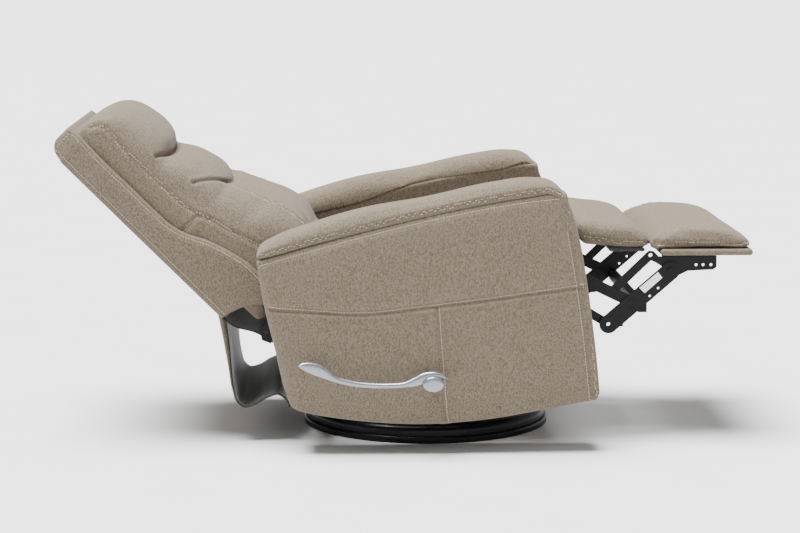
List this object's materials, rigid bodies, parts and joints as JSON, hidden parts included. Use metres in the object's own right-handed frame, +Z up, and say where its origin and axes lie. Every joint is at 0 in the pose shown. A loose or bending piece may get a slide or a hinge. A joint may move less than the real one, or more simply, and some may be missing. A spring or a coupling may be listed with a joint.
{
  "type": "reclining swivel glider chair",
  "caption": "Upholstered reclining glider armchair on a round swivel base, laid back with its footrest out and a curved side handle.",
  "frame": {"origin": "centre of the round base on the floor", "axes": "+X the way the sitter faces, +Y the sitter's left, +Z up"},
  "size_m": [1.6009, 0.8794, 0.7623],
  "materials": {
    "upholstery": "woven heathered fabric over foam",
    "tail_lining": "dark dust-cover cloth with a slight sheen",
    "thread": "paler top-stitch thread",
    "base_finish": "black satin lacquer",
    "black_steel": "black powder coat",
    "bright_steel": "zinc plated",
    "handle_metal": "satin silver",
    "wood": "raw plywood",
    "nylon": "greased nylon",
    "black_plastic": "moulded black plastic",
    "label": "blank white sticker"
  },
  "bodies": {
    "base": {"base_disk": "base_finish", "bearing_lower_plate": "black_steel", "swivel_pin": "bright_steel", "bearing_ring": "nylon", "base_bolts": "bright_steel"},
    "swivel": {"bearing_upper_plate": "black_steel", "cradle_bars": "black_steel", "hanger_posts": "black_steel", "hanger_pins": "bright_steel"},
    "glide_front": {"front_swing_arms": "black_steel", "front_glide_axle": "bright_steel"},
    "glide_rear": {"rear_swing_arms": "black_steel", "rear_glide_axle": "bright_steel"},
    "frame": {"glider_rails": "black_steel", "glider_cross_rails": "black_steel", "frame_cross_boards": "wood", "rear_rail": "black_steel", "arm_inner_boards": "wood", "arm_outer_boards": "wood", "arm_spacer_blocks": "wood", "arm_inner_panels": "upholstery", "arm_outer_panels": "upholstery", "arm_top_pads": "upholstery", "arm_end_panels": "upholstery", "mechanism_base_rails": "black_steel", "frame_hinge_pins": "bright_steel"},
    "lever": {"lever_handle": "handle_metal", "lever_cap": "handle_metal", "drive_tube": "bright_steel"},
    "seat": {"seat_side_plates": "black_steel", "seat_rails": "wood", "seat_springs": "bright_steel", "seat_cushion": "upholstery", "seat_pivot_rivets": "bright_steel"},
    "backrest": {"back_side_boards": "wood", "back_cross_rails": "wood", "back_side_panels": "upholstery", "back_rear_panel": "upholstery", "back_top_panel": "upholstery", "back_cushion_head": "upholstery", "back_cushion_middle": "upholstery", "back_cushion_lumbar": "upholstery", "back_brackets": "black_steel"},
    "tail_upper": {"tail_cloth_upper": "upholstery"},
    "tail_middle": {"tail_cloth_middle": "upholstery"},
    "tail_lower": {"tail_cloth_lower": "upholstery"},
    "front_link": {"front_links": "black_steel", "front_link_rivets": "black_steel"},
    "rear_link": {"rear_links": "black_steel"},
    "long_link": {"long_links": "black_steel", "long_link_rivets": "black_steel", "link_label": "label", "footrest_crossbar": "black_steel", "link_bumpers": "black_plastic"},
    "short_link": {"short_links": "black_steel"},
    "ottoman": {"ottoman_brackets": "black_steel", "ottoman_board": "wood", "ottoman_pad": "upholstery"},
    "chaise": {"chaise_board": "wood", "chaise_pad": "upholstery"}
  },
  "joints": [
    {"name": "swivel_turn", "type": "hinge", "parent": "base", "child": "swivel", "pos_m": [0, 0, 0.046], "axis": [0, 0, 1], "continuous": true},
    {"name": "glide_swing", "type": "hinge", "parent": "swivel", "child": "glide_front", "pos_m": [0.12, 0, 0.158], "axis": [0, 1, 0], "range_deg": [-15, 15]},
    {"name": "glide_rear_swing", "type": "hinge", "parent": "swivel", "child": "glide_rear", "pos_m": [-0.12, 0, 0.158], "axis": [0, 1, 0], "range_deg": [-15, 15]},
    {"name": "glide_level", "type": "hinge", "parent": "glide_front", "child": "frame", "pos_m": [0.12, 0, 0.078], "axis": [0, 1, 0], "range_deg": [-15, 15]},
    {"name": "recline", "type": "hinge", "parent": "frame", "child": "backrest", "pos_m": [-0.312, 0, 0.39], "axis": [0, 1, 0], "range_deg": [0, 24]},
    {"name": "seat_tilt", "type": "hinge", "parent": "frame", "child": "seat", "pos_m": [-0.19, 0, 0.345], "axis": [0, 1, 0], "range_deg": [0, 3]},
    {"name": "tail_top_fold", "type": "hinge", "parent": "backrest", "child": "tail_upper", "pos_m": [-0.482, 0, 0.289], "axis": [0, 1, 0], "range_deg": [-39, 0], "deforming": ["tail_cloth_upper"]},
    {"name": "tail_bend_fold", "type": "hinge", "parent": "tail_upper", "child": "tail_middle", "pos_m": [-0.443, 0, 0.086], "axis": [0, 1, 0], "range_deg": [0, 82], "deforming": ["tail_cloth_middle"]},
    {"name": "tail_foot_fold", "type": "hinge", "parent": "tail_middle", "child": "tail_lower", "pos_m": [-0.347, 0, 0.112], "axis": [0, 1, 0], "range_deg": [-88, 0], "deforming": ["tail_cloth_lower"]},
    {"name": "footrest_fold", "type": "hinge", "parent": "seat", "child": "front_link", "pos_m": [0.2765, 0, 0.4109], "axis": [0, 1, 0], "range_deg": [0, 102.82]},
    {"name": "rear_link_fold", "type": "hinge", "parent": "seat", "child": "rear_link", "pos_m": [0.2249, 0, 0.3805], "axis": [0, 1, 0], "range_deg": [0, 102]},
    {"name": "long_link_fold", "type": "hinge", "parent": "front_link", "child": "long_link", "pos_m": [0.4582, 0, 0.3229], "axis": [0, 1, 0], "range_deg": [-84, 0]},
    {"name": "short_link_fold", "type": "hinge", "parent": "front_link", "child": "short_link", "pos_m": [0.4144, 0, 0.3469], "axis": [0, 1, 0], "range_deg": [-83, 0]},
    {"name": "ottoman_turn", "type": "hinge", "parent": "long_link", "child": "ottoman", "pos_m": [0.5476, 0, 0.3949], "axis": [0, 1, 0], "range_deg": [0, 72]},
    {"name": "chaise_fold", "type": "hinge", "parent": "seat", "child": "chaise", "pos_m": [0.342, 0, 0.502], "axis": [0, 1, 0], "range_deg": [0, 81], "deforming": ["chaise_pad"]},
    {"name": "lever_turn", "type": "hinge", "parent": "frame", "child": "lever", "pos_m": [-0.004, 0, 0.171], "axis": [0, 1, 0], "range_deg": [0, 152]}
  ],
  "couplings": [
    {"joint": "glide_rear_swing", "follows": "glide_swing", "ratio": 1},
    {"joint": "glide_level", "follows": "glide_swing", "ratio": -1},
    {"joint": "seat_tilt", "follows": "recline", "ratio": 0.125},
    {"joint": "tail_top_fold", "follows": "recline", "ratio": -1.6043},
    {"joint": "tail_bend_fold", "follows": "recline", "ratio": 3.3714},
    {"joint": "tail_foot_fold", "follows": "recline", "ratio": -3.6174},
    {"joint": "rear_link_fold", "follows": "footrest_fold", "ratio": 0.97994},
    {"joint": "long_link_fold", "follows": "footrest_fold", "ratio": -0.80812},
    {"joint": "short_link_fold", "follows": "footrest_fold", "ratio": -0.79523},
    {"joint": "ottoman_turn", "follows": "footrest_fold", "ratio": 0.68346},
    {"joint": "chaise_fold", "follows": "footrest_fold", "ratio": 0.77806},
    {"joint": "lever_turn", "follows": "footrest_fold", "ratio": 1.4589}
  ]
}
